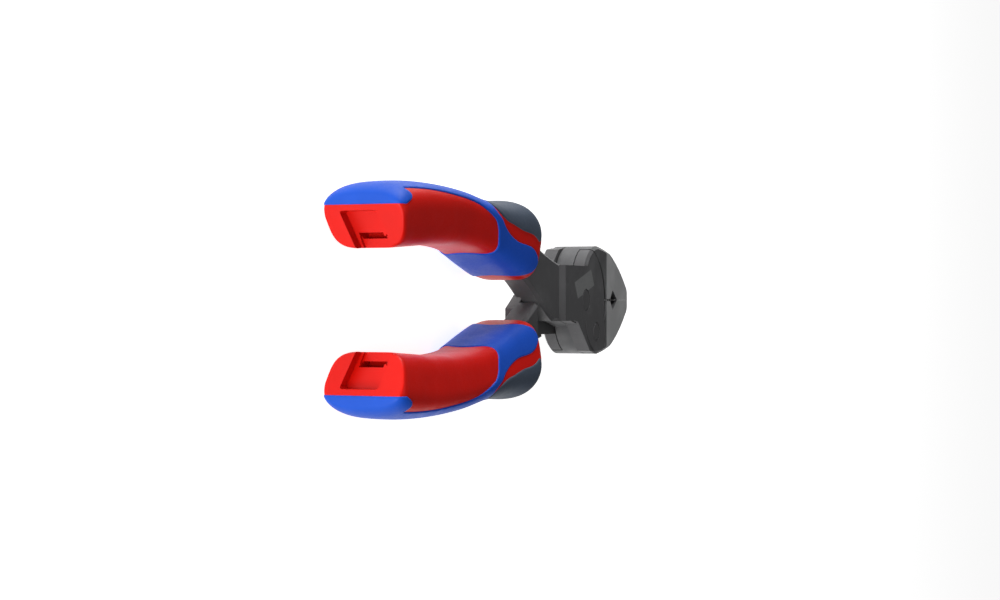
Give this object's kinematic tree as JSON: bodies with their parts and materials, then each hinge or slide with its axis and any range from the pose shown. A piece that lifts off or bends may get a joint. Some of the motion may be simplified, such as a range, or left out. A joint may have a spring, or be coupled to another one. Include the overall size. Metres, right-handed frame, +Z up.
{
  "type": "bolt cutters",
  "caption": "Compact compound bolt cutters with crossing levers, pivoting jaws and bowed moulded grips with thumb guards.",
  "frame": {"origin": "bottom centre of the whole tool as it lies flat with its handles closed", "axes": "+X along the tool from the butts to the jaw tips, +Y across the handles towards the upper lever, +Z up through the thickness"},
  "size_m": [0.2, 0.0624, 0.0246],
  "materials": {
    "jaw_steel": "dark phosphated forged steel, satin",
    "lever_steel": "dark phosphated forged steel, satin",
    "pin_steel": "dark ground steel, satin",
    "red_plastic": "hard red moulded plastic, semi-gloss",
    "blue_soft": "soft blue overmould, satin",
    "grey_soft": "soft dark grey thumb pad, matt"
  },
  "bodies": {
    "lever_upper": {"lever_upper": "lever_steel", "grip_core_upper": "red_plastic", "grip_cover_upper": "blue_soft", "thumb_pad_upper": "grey_soft", "lever_pivot_pin": "pin_steel", "link_pin_lower": "pin_steel"},
    "lever_lower": {"lever_lower": "lever_steel", "grip_core_lower": "red_plastic", "grip_cover_lower": "blue_soft", "thumb_pad_lower": "grey_soft", "link_pin_upper": "pin_steel"},
    "jaw_upper": {"jaw_upper": "jaw_steel"},
    "jaw_lower": {"jaw_lower": "jaw_steel", "jaw_pivot_pin": "pin_steel"}
  },
  "joints": [
    {"name": "handles_open", "type": "hinge", "parent": "lever_upper", "child": "lever_lower", "pos_m": [0.045, 0, 0.0123], "axis": [0, 0, 1], "range_deg": [0, 32]},
    {"name": "lower_jaw_link", "type": "hinge", "parent": "lever_upper", "child": "jaw_lower", "pos_m": [0.055, -0.0104, 0.0123], "axis": [0, 0, 1], "range_deg": [0, 10.2]},
    {"name": "upper_jaw_link", "type": "hinge", "parent": "lever_lower", "child": "jaw_upper", "pos_m": [0.055, 0.0104, 0.0123], "axis": [0, 0, 1], "range_deg": [-10.2, 0]}
  ],
  "couplings": [
    {"joint": "lower_jaw_link", "follows": "handles_open", "ratio": 0.315},
    {"joint": "upper_jaw_link", "follows": "handles_open", "ratio": -0.315}
  ]
}
